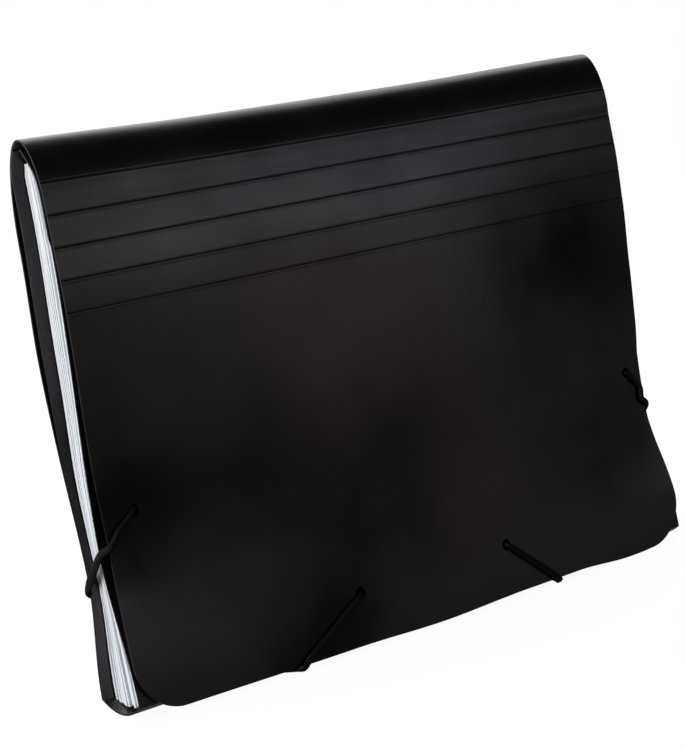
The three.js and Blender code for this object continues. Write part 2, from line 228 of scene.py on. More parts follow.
def back_face(x, height):
    pinch = pinch_at(x)
    face = depth_through([
        (back_fold(x), mix(BACK_FOOT_MIDDLE, BACK_FOOT_ENDS, pinch)),
        (BACK_PINCH_HEIGHT, mix(BACK_PINCH_MIDDLE, BACK_PINCH_ENDS, pinch)),
        (BACK_SHOULDER_HEIGHT, BACK_SHOULDER),
        (BACK_NECK_HEIGHT, BACK_NECK),
    ], height)
    face = face + BACK_PINCH_BULGE * pinch * hump(height, BACK_BULGE_HEIGHT, BACK_BULGE_REACH)
    return np.where(height > BACK_NECK_HEIGHT, roll_depth(height, BACK_NECK, BACK_NECK_HEIGHT), face)


def make_object(name, points, faces):
    """A mesh object from points in millimetres in the file's own frame, settled under their own weight."""
    mesh = bpy.data.meshes.new(name)
    placed = np.array(points, float)
    placed[:, 2] -= ridge_sag(placed[:, 0], placed[:, 2]) + end_drop(placed[:, 0], placed[:, 2])
    placed = (placed + np.array((0, DEPTH_SHIFT, 0))) * MM
    mesh.from_pydata(placed.tolist(), [], [list(map(int, face)) for face in faces])
    mesh.validate()
    made = bpy.data.objects.new(name, mesh)
    scene.collection.objects.link(made)
    return made


def outward(made):
    """Merges what lies together and points the faces outwards."""
    work = bmesh.new()
    work.from_mesh(made.data)
    bmesh.ops.remove_doubles(work, verts=work.verts, dist=1e-7)
    bmesh.ops.recalc_face_normals(work, faces=work.faces)
    work.to_mesh(made.data)
    work.free()


def shade_smooth(made, angle=40):
    made.data.shade_smooth()
    work = bmesh.new()
    work.from_mesh(made.data)
    for edge in work.edges:
        edge.smooth = len(edge.link_faces) == 2 and edge.calc_face_angle(0) < math.radians(angle)
    work.to_mesh(made.data)
    work.free()


def grid_normals(points):
    down = np.gradient(points, axis=0)
    across = np.gradient(points, axis=1)
    normal = np.cross(down, across)
    return normal / np.linalg.norm(normal, axis=2, keepdims=True)


def sheet_object(name, points, thickness, relief=None):
    """A closed sheet from points on its outer face, thickened inwards, with relief sunk in that face."""
    normal = grid_normals(points)
    rows, columns = points.shape[:2]
    outer = points if relief is None else points - normal * relief[..., None]
    inner = points - normal * thickness
    index = np.arange(rows * columns).reshape(rows, columns)
    count = rows * columns
    a, b, c, d = index[:-1, :-1], index[1:, :-1], index[1:, 1:], index[:-1, 1:]
    front = np.stack([a, b, c, d], -1).reshape(-1, 4)
    back = front[:, ::-1] + count
    rim = np.concatenate([index[:-1, 0], index[-1, :-1], index[:0:-1, -1], index[0, :0:-1]])
    after = np.roll(rim, -1)
    edge = np.stack([rim, rim + count, after + count, after], -1)
    made = make_object(
        name, np.concatenate([outer.reshape(-1, 3), inner.reshape(-1, 3)]), [*front, *back, *edge]
    )
    outward(made)
    return made


def apply_modifiers(made):
    """Turns the object's mesh into what its modifiers make of it, and drops them."""
    graph = bpy.context.evaluated_depsgraph_get()
    result = bpy.data.meshes.new_from_object(made.evaluated_get(graph))
    made.modifiers.clear()
    old = made.data
    made.data = result
    bpy.data.meshes.remove(old)


def flap_half_width(height, x_share):
    """Half the flap's width at a height, drawn in round its lower corners and where the elastics curl it."""
    over_edge = np.clip(height - FLAP_EDGE_ENDS, 0, CORNER_RADIUS)
    inset = CORNER_RADIUS - np.sqrt(CORNER_RADIUS**2 - (CORNER_RADIUS - over_edge) ** 2)
    curl = EDGE_CURL + EDGE_CURL_MORE_RIGHT * np.sign(x_share)
    curl = curl * hump(height, EDGE_CURL_HEIGHT, EDGE_CURL_REACH) * smooth(np.abs(x_share), 0.9, 1)
    return HALF_WIDTH - inset - curl


def score_relief(height):
    """Depth of the five score lines, each with a faint raised lip under it."""
    relief = np.zeros_like(height)
    for score in SCORE_HEIGHTS:
        away = np.abs(height - score)
        relief += SCORE_DEPTH * np.clip(1 - away / SCORE_HALF_WIDTH, 0, 1)
        relief -= SCORE_LIP * hump(height, score - 2 * SCORE_HALF_WIDTH, 0.4)
    return relief


# shallow dents by the elastics: depth, x, reach across, height, reach up
DENTS = [(0.5, -161, 13, 60, 9), (0.45, 160, 12, 60, 12), (0.35, 78, 9, 13, 7)]


def sheet_waves(x, height):
    """The slight unevenness of a sheet that has been stored under load."""
    slow = np.sin(x / 47 + height / 61) * 0.16 + np.sin(x / 29 - height / 83 + 1.3) * 0.1
    waves = slow * smooth(height, 0, 25) * smooth(FILE_HEIGHT - height, 12, 45)
    for depth, place, across, level, up in DENTS:
        waves = waves + depth * hump(x, place, across) * hump(height, level, up)
    return waves


x_shares = np.linspace(-1, 1, 171)
back_rows = np.linspace(0, 1, 56)
roll_angles = np.radians(np.linspace(0, 90, 25))
score_offsets = np.array([-2.2, -1.4, -1.0, -0.7, -0.5, -0.25, 0, 0.25, 0.5, 0.7, 1.0, 1.4, 2.2])
ROLL_TOP = 231
flap_high = np.concatenate([
    *[score + score_offsets for score in SCORE_HEIGHTS],
    *[score + np.array([5, 8]) for score in SCORE_HEIGHTS[1:]],
    [168, 163, 158],
])
flap_high = np.sort(np.unique(np.round(flap_high[flap_high < ROLL_TOP], 3)))[::-1]
flap_drop = flap_high[-1] - FLAP_EDGE_ENDS
corner_rises = CORNER_RADIUS * (1 - np.sin(np.radians(np.linspace(0, 90, 17))))
flap_low = np.concatenate([np.linspace(1, CORNER_RADIUS / flap_drop, 46)[1:-1], corner_rises / flap_drop])

rows = []
for share in back_rows[:-1]:
    x = x_shares * HALF_WIDTH
    height = mix(back_fold(x), BACK_NECK_HEIGHT, share)
    rows.append(np.stack([x, back_face(x, height), height], -1))
for angle in roll_angles[:-1]:
    height = np.full_like(x_shares, BACK_NECK_HEIGHT + (FILE_HEIGHT - BACK_NECK_HEIGHT) * math.sin(angle))
    depth = np.full_like(x_shares, RIDGE + (BACK_NECK - RIDGE) * math.cos(angle))
    rows.append(np.stack([x_shares * HALF_WIDTH, depth, height], -1))
for angle in roll_angles[::-1]:
    level = FLAP_NECK_HEIGHT + (FILE_HEIGHT - FLAP_NECK_HEIGHT) * math.sin(angle)
    if level > ROLL_TOP:
        depth = np.full_like(x_shares, RIDGE + (FLAP_NECK - RIDGE) * math.cos(angle))
        rows.append(np.stack([x_shares * HALF_WIDTH, depth, np.full_like(x_shares, level)], -1))
flap_start = len(rows)
for level in flap_high:
    x = x_shares * HALF_WIDTH
    rows.append(np.stack([x, flap_face(x, level), np.full_like(x, level)], -1))
for share in flap_low:
    height = mix(flap_edge(x_shares * HALF_WIDTH), flap_high[-1], share)
    x = x_shares * flap_half_width(height, x_shares)
    rows.append(np.stack([x, flap_face(x, height), height], -1))
wrap_points = np.stack(rows)
relief = np.zeros(wrap_points.shape[:2])
relief[flap_start:] = score_relief(wrap_points[flap_start:, :, 2])
wrap_points[flap_start:, :, 1] += sheet_waves(wrap_points[flap_start:, :, 0], wrap_points[flap_start:, :, 2])
wrap = sheet_object("wrap", wrap_points, SHEET, relief)


def punch_holes(made):
    """Punches the four holes through the flap."""
    cutters = bpy.data.meshes.new("punches")
    work = bmesh.new()
    for corner in HOLES.values():
        for x, height in corner.values():
            place = Vector((x, float(flap_face(x, height)) + DEPTH_SHIFT, height)) * MM
            turn = Matrix.Rotation(math.pi / 2, 4, "X")
            bmesh.ops.create_cone(
                work, cap_ends=True, segments=32, radius1=HOLE_RADIUS * MM, radius2=HOLE_RADIUS * MM,
                depth=6 * SHEET * MM, matrix=Matrix.Translation(place) @ turn,
            )
    work.to_mesh(cutters)
    work.free()
    punches = bpy.data.objects.new("punches", cutters)
    scene.collection.objects.link(punches)
    cut = made.modifiers.new("holes", "BOOLEAN")
    cut.operation = "DIFFERENCE"
    cut.solver = "EXACT"
    cut.object = punches
    apply_modifiers(made)
    bpy.data.objects.remove(punches)


punch_holes(wrap)
shade_smooth(wrap)


def node_material(name):
    material = bpy.data.materials.new(name)
    material.use_nodes = True
    shader = material.node_tree.nodes["Principled BSDF"]
    return material, material.node_tree, shader


def noise_node(tree, scale, detail=2.0, stretch=(1, 1, 1), roughness=0.5):
    """Noise on the object's own coordinates, stretched along its axes."""
    place = tree.nodes.new("ShaderNodeTexCoord")
    mapping = tree.nodes.new("ShaderNodeMapping")
    mapping.inputs["Scale"].default_value = stretch
    noise = tree.nodes.new("ShaderNodeTexNoise")
    noise.inputs["Scale"].default_value = scale
    noise.inputs["Detail"].default_value = detail
    noise.inputs["Roughness"].default_value = roughness
    tree.links.new(place.outputs["Object"], mapping.inputs["Vector"])
    tree.links.new(mapping.outputs["Vector"], noise.inputs["Vector"])
    return noise.outputs["Fac"]


def ramp_node(tree, source, stops):
    ramp = tree.nodes.new("ShaderNodeValToRGB")
    ramp.color_ramp.elements[0].position = stops[0][0]
    ramp.color_ramp.elements[0].color = stops[0][1]
    ramp.color_ramp.elements[1].position = stops[-1][0]
    ramp.color_ramp.elements[1].color = stops[-1][1]
    for position, colour in stops[1:-1]:
        ramp.color_ramp.elements.new(position).color = colour
    tree.links.new(source, ramp.inputs["Fac"])
    return ramp.outputs["Color"]


def range_node(tree, source, low, high, from_low=0.3, from_high=0.7):
    spread = tree.nodes.new("ShaderNodeMapRange")
    spread.inputs["From Min"].default_value = from_low
    spread.inputs["From Max"].default_value = from_high
    spread.inputs["To Min"].default_value = low
    spread.inputs["To Max"].default_value = high
    tree.links.new(source, spread.inputs["Value"])
    return spread.outputs["Result"]


def bump_node(tree, source, strength, distance, under=None):
    bump = tree.nodes.new("ShaderNodeBump")
    bump.inputs["Strength"].default_value = strength
    bump.inputs["Distance"].default_value = distance
    tree.links.new(source, bump.inputs["Height"])
    if under is not None:
        tree.links.new(under, bump.inputs["Normal"])
    return bump.outputs["Normal"]


# painted sheen and painted shade in patches, where the sheet reflects more or less and its colour is lighter
# or darker, and a painted warm or cool tint: x, height, reach across, reach up, share
PAINTED_SHEEN_AND_SHADE_PATCHES = [
    (13, 196, 190, 44, 0.4), (-117, 200, 90, 56, 0.1), (-155, 45, 52, 50, 0.4), (-122, 22, 80, 40, 0.3),
    (-8, 150, 120, 70, 0.1), (0, 242, 400, 24, -0.35),
    (128, 155, 96, 84, -0.85), (-156, 95, 60, 52, -0.7), (-60, 74, 116, 84, -0.5), (-95, 104, 50, 40, -0.2),
    (-80, 8, 56, 36, -0.6), (130, 70, 70, 70, -0.2), (-40, 40, 60, 40, -0.25),
]
# painted warm or cool tint of the reflections, which also makes the base colour lighter where warm
PAINTED_REFLECTION_TINT_PATCHES = [
    (-8, 100, 130, 190, 1), (-130, 160, 100, 120, 0.5), (-135, 40, 100, 90, 0.5), (80, 50, 100, 90, 0.4),
    (30, 212, 260, 56, -1.2), (135, 150, 90, 110, -0.8),
]


def patches_node(tree, patches):
    """Soft clouds at given places of the sheet, with their edges broken up. Adds up to about -1 to 1."""
    place = tree.nodes.new("ShaderNodeTexCoord")
    drift = tree.nodes.new("ShaderNodeTexNoise")
    drift.inputs["Scale"].default_value = 13
    drift.inputs["Detail"].default_value = 4
    centred, shorter, moved = (tree.nodes.new("ShaderNodeVectorMath") for _ in range(3))
    centred.operation, shorter.operation, moved.operation = "SUBTRACT", "SCALE", "ADD"
    centred.inputs[1].default_value = (0.5, 0.5, 0.5)
    shorter.inputs["Scale"].default_value = 0.09
    tree.links.new(place.outputs["Object"], drift.inputs["Vector"])
    tree.links.new(drift.outputs["Color"], centred.inputs[0])
    tree.links.new(centred.outputs["Vector"], shorter.inputs[0])
    tree.links.new(shorter.outputs["Vector"], moved.inputs[0])
    tree.links.new(place.outputs["Object"], moved.inputs[1])
    total = None
    for x, height, across, up, share in patches:
        mapping = tree.nodes.new("ShaderNodeMapping")
        mapping.inputs["Location"].default_value = (-x / across, 0, -height / up)
        mapping.inputs["Scale"].default_value = (1 / (across * MM), 0, 1 / (up * MM))
        cloud = tree.nodes.new("ShaderNodeTexGradient")
        cloud.gradient_type = "SPHERICAL"
        soft = tree.nodes.new("ShaderNodeMapRange")
        soft.interpolation_type = "SMOOTHSTEP"
        soft.inputs["To Max"].default_value = share
        tree.links.new(moved.outputs["Vector"], mapping.inputs["Vector"])
        tree.links.new(mapping.outputs["Vector"], cloud.inputs["Vector"])
        tree.links.new(cloud.outputs["Fac"], soft.inputs["Value"])
        if total is None:
            total = soft.outputs["Result"]
        else:
            both = tree.nodes.new("ShaderNodeMath")
            both.operation = "ADD"
            tree.links.new(total, both.inputs[0])
            tree.links.new(soft.outputs["Result"], both.inputs[1])
            total = both.outputs[0]
    return total


def black_sheet_material():
    """Satin extruded polypropylene: near black, a fine haircell grain, with painted sheen, painted shade and a
    painted warm or cool tint in patches.
    """
    material, tree, shader = node_material("black_sheet")
    painted_reflection_warmth = range_node(tree, patches_node(tree, PAINTED_REFLECTION_TINT_PATCHES), 0, 1, from_low=-1, from_high=1)
    # painted sheen and shade: the patches raise or lower the reflectivity, and with some random noise lighten
    # or darken the base colour
    painted_sheen_and_shade = patches_node(tree, PAINTED_SHEEN_AND_SHADE_PATCHES)
    sheen_shade_and_mottle = tree.nodes.new("ShaderNodeMath")
    sheen_shade_and_mottle.operation = "ADD"
    tree.links.new(painted_sheen_and_shade, sheen_shade_and_mottle.inputs[0])
    tree.links.new(range_node(tree, noise_node(tree, 16, detail=4), -0.16, 0.16), sheen_shade_and_mottle.inputs[1])
    tree.links.new(
        range_node(tree, sheen_shade_and_mottle.outputs[0], 0.1, 0.9, from_low=-0.85, from_high=0.85),
        shader.inputs["Specular IOR Level"],
    )
    # the painted warm or cool tint of the reflections
    tree.links.new(ramp_node(tree, painted_reflection_warmth, [
        (0.1, (0.80, 0.88, 1.0, 1)),
        (0.5, (0.97, 0.96, 1.0, 1)),
        (0.9, (1.0, 0.80, 0.84, 1)),
    ]), shader.inputs["Specular Tint"])
    # the base colour follows the painted tint: lighter where warm, darker where cool
    tint = ramp_node(tree, painted_reflection_warmth, [
        (0.1, (0.0034, 0.0040, 0.0052, 1)),
        (0.5, (0.0048, 0.0045, 0.0046, 1)),
        (0.9, (0.0085, 0.0052, 0.0058, 1)),
    ])
    # the base colour, lightened and darkened by the painted sheen and shade
    deep = tree.nodes.new("ShaderNodeVectorMath")
    deep.operation = "SCALE"
    tree.links.new(tint, deep.inputs[0])
    tree.links.new(
        range_node(tree, sheen_shade_and_mottle.outputs[0], 0.3, 1.7, from_low=-0.85, from_high=0.85), deep.inputs["Scale"]
    )
    tree.links.new(deep.outputs["Vector"], shader.inputs["Base Color"])
    tree.links.new(range_node(tree, noise_node(tree, 22, detail=4), 0.24, 0.32), shader.inputs["Roughness"])
    grain = noise_node(tree, 2600, detail=2, roughness=0.6)
    broad = noise_node(tree, 420, detail=2)
    rough = bump_node(tree, grain, 0.22, 0.00004)
    tree.links.new(bump_node(tree, broad, 0.12, 0.00008, rough), shader.inputs["Normal"])
    return material


black_sheet = black_sheet_material()
wrap.data.materials.clear()
wrap.data.materials.append(black_sheet)
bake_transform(wrap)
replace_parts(wrap, "flap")

# The lower cover: the rest of the same sheet, folded sharply at the foot of the back, sagging under the
# pockets and folded up again as the front panel, whose top edge ends under the roll.
FRONT_FOLD_ENDS = 6.5
FRONT_FOLD_MIDDLE = 4
FRONT_FOOT_ENDS = -13.6
FRONT_FOOT_MIDDLE = -15.2
FRONT_PINCH_ENDS = -5.5
FRONT_PINCH_MIDDLE = -13
FRONT_PINCH_HEIGHT = 72
FRONT_SHOULDER = -13.6
FRONT_SHOULDER_HEIGHT = 204
PANEL_TOP = 242
FRONT_LEAN_START = 228
FRONT_TOP_LEAN = 3
BOTTOM_LIFT = 2.8
PANEL_GAP = 0.3
RIGHT_TOE = 1.1


def front_fold(x):
    return mix(FRONT_FOLD_MIDDLE, FRONT_FOLD_ENDS, pinch_at(x))


def front_face(x, height):
    pinch = pinch_at(x)
    face = depth_through([
        (front_fold(x), mix(FRONT_FOOT_MIDDLE, FRONT_FOOT_ENDS, pinch)),
        (FRONT_PINCH_HEIGHT, mix(FRONT_PINCH_MIDDLE, FRONT_PINCH_ENDS, pinch)),
        (FRONT_SHOULDER_HEIGHT, FRONT_SHOULDER),
    ], height)
    face = face - RIGHT_TOE * smooth(x, 110, HALF_WIDTH) * (1 - smooth(height, 8, 45))
    under_roll = roll_depth(height, FLAP_NECK, FLAP_NECK_HEIGHT) + 2 * SHEET + PANEL_GAP
    lean = FRONT_TOP_LEAN * smooth(height, FRONT_LEAN_START, PANEL_TOP)
    return np.where(height > FRONT_SHOULDER_HEIGHT, np.maximum(face, under_roll) + lean, face)


def bottom_height(x):
    """The lowest line of the bottom, lifted at both ends by the elastics that pass under it."""
    return BOTTOM_LIFT * smooth(np.abs(x), SAG_FLAT_HALF, SAG_RISE_HALF)


cover_x = np.linspace(-HALF_WIDTH, HALF_WIDTH, 133)
fold_high, fold_low = back_fold(cover_x), front_fold(cover_x)
fold_back = back_face(cover_x, fold_high)
fold_front = front_face(cover_x, fold_low)
rows = []
for share in np.linspace(0, 1, 29):
    sag = (fold_high + fold_low) / 2 - bottom_height(cover_x)
    height = mix(fold_high, fold_low, share) - sag * 4 * share * (1 - share)
    rows.append(np.stack([cover_x, mix(fold_back, fold_front, share), height], -1))
for share in np.linspace(0, 1, 70)[1:]:
    height = mix(fold_low, PANEL_TOP, share)
    rows.append(np.stack([cover_x, front_face(cover_x, height), height], -1))
lower_cover = sheet_object("lower_cover", np.stack(rows)[:, ::-1], SHEET)
shade_smooth(lower_cover)
lower_cover.data.materials.append(black_sheet)
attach(lower_cover, "file")
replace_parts(lower_cover, "cover")

# The rear panel: a thinner black sheet inside the back. It is welded to the back along the foot and leans
# off it higher up, and the last pocket is glued to it.
REAR_SHEET = 0.6
REAR_GAP = 0.3
REAR_LEAN_START = 75
REAR_SHOULDER = 10
REAR_SHOULDER_HEIGHT = 150
REAR_TOP = 6.6
REAR_TOP_HEIGHT = 215
REAR_FLOOR_LIFT = 1
POCKET_FLOOR_GAP = 1.2
POCKET_FLOOR_RISE = 2.6
POCKET_TOP = 236


def rear_face(x, height):
    against = back_face(x, height) - SHEET - REAR_GAP
    leaning = depth_through([
        (REAR_SHOULDER_HEIGHT, REAR_SHOULDER),
        (REAR_TOP_HEIGHT, REAR_TOP + REAR_SHEET),
    ], height)
    return np.minimum(against, mix(against, leaning, smooth(height, REAR_LEAN_START, REAR_SHOULDER_HEIGHT)))


def pocket_floor(x, share):
    """The foot of a pocket. The outer ones stand higher in the curve of the bottom."""
    return bottom_height(x) + SHEET + POCKET_FLOOR_GAP + POCKET_FLOOR_RISE * (2 * share - 1) ** 2


rows = []
for share in np.linspace(1, 0, 70):
    height = mix(pocket_floor(cover_x, 1) + REAR_FLOOR_LIFT, PANEL_TOP, share)
    rows.append(np.stack([cover_x, rear_face(cover_x, height), height], -1))
rear_panel = sheet_object("rear_panel", np.stack(rows)[:, ::-1], REAR_SHEET)
shade_smooth(rear_panel)
rear_panel.data.materials.append(black_sheet)
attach(rear_panel, "file")
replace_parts(rear_panel, "rear_panel")

# The gussets: the pleated white ends of the pockets, creased from thin translucent film. Each pleat runs out
# to an outer fold and back, and no two are creased quite alike.
POCKETS = 13
GUSSET_SHEET = 0.18
GUSSET_OUTER = HALF_WIDTH - 5.4
GUSSET_INNER = GUSSET_OUTER - 8.5
POCKET_AIR = 0.5
PLEAT_BULGE = 2.2


def pocket_depth(x, height, share):
    front = front_face(x, height) + SHEET + POCKET_AIR
    back = rear_face(x, height) - REAR_SHEET - POCKET_AIR
    return mix(front, back, share)


def white_film_material():
    """Thin translucent white film: a faint milky clouding and fine streaks along the creases."""
    material, tree, shader = node_material("white_film")
    streaks = noise_node(tree, 1, detail=3, stretch=(90, 1500, 5))
    tint = ramp_node(tree, streaks, [
        (0.3, (0.80, 0.83, 0.90, 1)),
        (0.5, (0.88, 0.91, 0.96, 1)),
        (0.72, (0.94, 0.96, 0.99, 1)),
    ])
    tree.links.new(tint, shader.inputs["Base Color"])
    tree.links.new(range_node(tree, noise_node(tree, 60, detail=3), 0.34, 0.5), shader.inputs["Roughness"])
    shader.inputs["Subsurface Weight"].default_value = 0.15
    shader.inputs["Subsurface Radius"].default_value = (0.002, 0.002, 0.002)
    grain = noise_node(tree, 900, detail=2)
    tree.links.new(bump_node(tree, grain, 0.15, 0.00005), shader.inputs["Normal"])
    return material


white_film = white_film_material()
chance = np.random.default_rng(7)


def gusset_object(name, side):
    legs = 2 * POCKETS
    half = GUSSET_SHEET / 2
    heights = np.concatenate([[0], np.linspace(0.03, 1, 44)])
    out_shift = chance.uniform(-0.55, 0.35, POCKETS)
    sway = chance.uniform(-0.12, 0.12, (POCKETS, 3))
    foot_shift = chance.uniform(-0.9, 1.1, POCKETS)
    rings = []
    for share in heights:
        front, back = [], []
        for leg in range(legs):
            level = mix(float(pocket_floor(GUSSET_OUTER, (leg + 0.5) / legs)), POCKET_TOP, share)
            pleat = leg // 2
            outward_leg = leg % 2 == 0
            outer = GUSSET_OUTER + out_shift[pleat] + 0.25 * math.sin(level / 37 + pleat)
            outer += PLEAT_BULGE * float(hump(level, 75, 45))
            start, end = (GUSSET_INNER, outer) if outward_leg else (outer, GUSSET_INNER)
            turn = 1 if outward_leg else -1
            start_trim = 0 if leg == 0 else turn * half
            end_trim = 0 if leg == legs - 1 else turn * half
            wobble = sum(sway[pleat, k] * math.sin(level / (23 + 17 * k) + k * pleat) for k in range(3)) * 0.5
            height = level + (foot_shift[pleat] if share == 0 else 0)
            for place, trim, sign in ((start, -start_trim, -1), (end, end_trim, -1)):
                depth = float(pocket_depth(side * place, level, (leg + 0.5) / legs))
                depth += wobble * (place > GUSSET_INNER) + sign * turn * half
                front.append((side * (place + trim), depth, height))
            for place, trim in ((start, start_trim), (end, -end_trim)):
                depth = float(pocket_depth(side * place, level, (leg + 0.5) / legs))
                depth += wobble * (place > GUSSET_INNER) + turn * half
                back.append((side * (place + trim), depth, height))
        rings.append(front + back[::-1])
    size = len(rings[0])
    points = [point for ring in rings for point in ring]
    faces = []
    for r in range(len(rings) - 1):
        for i in range(size):
            a, b = r * size + i, r * size + (i + 1) % size
            faces.append((a, b, b + size, a + size))
    last = (len(rings) - 1) * size
    for i in range(size // 2 - 1):
        far = size - 1 - i
        faces.append((i, far, far - 1, i + 1))
        faces.append((last + i, last + i + 1, last + far - 1, last + far))
    made = make_object(name, points, faces)
    outward(made)
    shade_smooth(made, 30)
    made.data.materials.append(white_film)
    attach(made, "file")
    return made


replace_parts(gusset_object("left_pleats", -1), "left_gusset")
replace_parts(gusset_object("right_pleats", 1), "right_gusset")

# The dividers: twelve sheets of the same film between the thirteen pockets, welded into the inner folds of
# the pleats. One sheet is repeated at even steps between the front panel and the rear panel.
DIVIDER_COUNT = POCKETS - 1
DIVIDER_SHEET = 0.2
DIVIDER_FOOT_SHARE = 0.2
DIVIDER_HALF = GUSSET_INNER - 0.3


def divider_base():
    """A thin sheet on the foremost place of the pockets, which remembers its rearmost place too."""
    x = np.linspace(-DIVIDER_HALF, DIVIDER_HALF, 41)
    rows = []
    for share in np.linspace(0, 1, 36):
        height = mix(pocket_floor(x, DIVIDER_FOOT_SHARE), POCKET_TOP - 1, share)
        rows.append(np.stack([x, pocket_depth(x, height, 0), height], -1))
    made = sheet_object("dividers", np.stack(rows)[:, ::-1], DIVIDER_SHEET)
    reach = made.data.attributes.new("reach", "FLOAT", "POINT")
    for i, vertex in enumerate(made.data.vertices):
        across, height = vertex.co.x / MM, vertex.co.z / MM
        reach.data[i].value = (
            float(pocket_depth(across, height, 1)) - float(pocket_depth(across, height, 0))
        ) * MM
    return made


def divider_tree():
    """Repeats the base sheet, moving each copy back by its share of the pockets' depth."""
    tree = bpy.data.node_groups.new("repeated_dividers", "GeometryNodeTree")
    tree.interface.new_socket("Geometry", in_out="INPUT", socket_type="NodeSocketGeometry")
    tree.interface.new_socket("Count", in_out="INPUT", socket_type="NodeSocketInt")
    tree.interface.new_socket("Film", in_out="INPUT", socket_type="NodeSocketMaterial")
    tree.interface.new_socket("Geometry", in_out="OUTPUT", socket_type="NodeSocketGeometry")
    add, link = tree.nodes.new, tree.links.new
    given, result = add("NodeGroupInput"), add("NodeGroupOutput")
    line = add("GeometryNodeMeshLine")
    link(given.outputs["Count"], line.inputs["Count"])
    line.inputs["Offset"].default_value = (0, 0, 0)
    number = add("GeometryNodeInputIndex")
    first = add("ShaderNodeMath")
    first.operation = "ADD"
    first.inputs[1].default_value = 1
    link(number.outputs[0], first.inputs[0])
    pockets = add("ShaderNodeMath")
    pockets.operation = "ADD"
    pockets.inputs[1].default_value = 1
    link(given.outputs["Count"], pockets.inputs[0])
    share = add("ShaderNodeMath")
    share.operation = "DIVIDE"
    link(first.outputs[0], share.inputs[0])
    link(pockets.outputs[0], share.inputs[1])
    store = add("GeometryNodeStoreNamedAttribute")
    store.data_type = "FLOAT"
    store.domain = "POINT"
    store.inputs["Name"].default_value = "share"
    link(line.outputs[0], store.inputs["Geometry"])
    link(share.outputs[0], store.inputs["Value"])
    copies = add("GeometryNodeInstanceOnPoints")
    link(store.outputs[0], copies.inputs["Points"])
    link(given.outputs["Geometry"], copies.inputs["Instance"])
    real = add("GeometryNodeRealizeInstances")
    link(copies.outputs[0], real.inputs[0])
    read_share, read_reach = add("GeometryNodeInputNamedAttribute"), add("GeometryNodeInputNamedAttribute")
    read_share.data_type = read_reach.data_type = "FLOAT"
    read_share.inputs["Name"].default_value = "share"
    read_reach.inputs["Name"].default_value = "reach"
    back = add("ShaderNodeMath")
    back.operation = "MULTIPLY"
    link(read_share.outputs[0], back.inputs[0])
    link(read_reach.outputs[0], back.inputs[1])
    offset = add("ShaderNodeCombineXYZ")
    link(back.outputs[0], offset.inputs["Y"])
    move = add("GeometryNodeSetPosition")
    link(real.outputs[0], move.inputs["Geometry"])
    link(offset.outputs[0], move.inputs["Offset"])
    finish = add("GeometryNodeSetMaterial")
    link(move.outputs[0], finish.inputs["Geometry"])
    link(given.outputs["Film"], finish.inputs["Material"])
    link(finish.outputs[0], result.inputs[0])
    return tree


dividers = divider_base()
repeat = dividers.modifiers.new("repeat", "NODES")
repeat.node_group = divider_tree()
sockets = {
    item.name: item.identifier for item in repeat.node_group.interface.items_tree if item.in_out == "INPUT"
}
repeat[sockets["Count"]] = DIVIDER_COUNT
repeat[sockets["Film"]] = white_film
apply_modifiers(dividers)
shade_smooth(dividers)
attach(dividers, "file")
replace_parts(dividers, *[f"divider_{i:02d}" for i in range(1, POCKETS)])

# The elastics: a braided black cord round each lower corner. Each starts at a knot behind the side hole,
# runs over the flap and round the side edges, slants across the back's corner, passes under the file and
# comes up the flap to a knot behind the bottom hole. Under tension it flattens where it turns an edge.
CORD_WIDTH = 3.2
CORD_THICK = 2.3
CORD_SIDES = 24
CORD_CLEAR = 0.12
BRAID_PITCH = 2.6
BRAID_HEIGHT = 0.13
# how far in from the file's end each elastic crosses the flap's lower edge
CROSSING_INSET = {"left": 81, "right": 92}
FLAP_TURNS = {"left": 74.5, "right": 70.5}
BACK_TURN = 56
THIN_WIDTH = 2.0
TURN_WIDTH = 3.7
FLAT_WIDTH = 4.3
DIAGONAL = 0.72
CROSSING_SLANT = 18
KNOT_BEHIND = 1.4


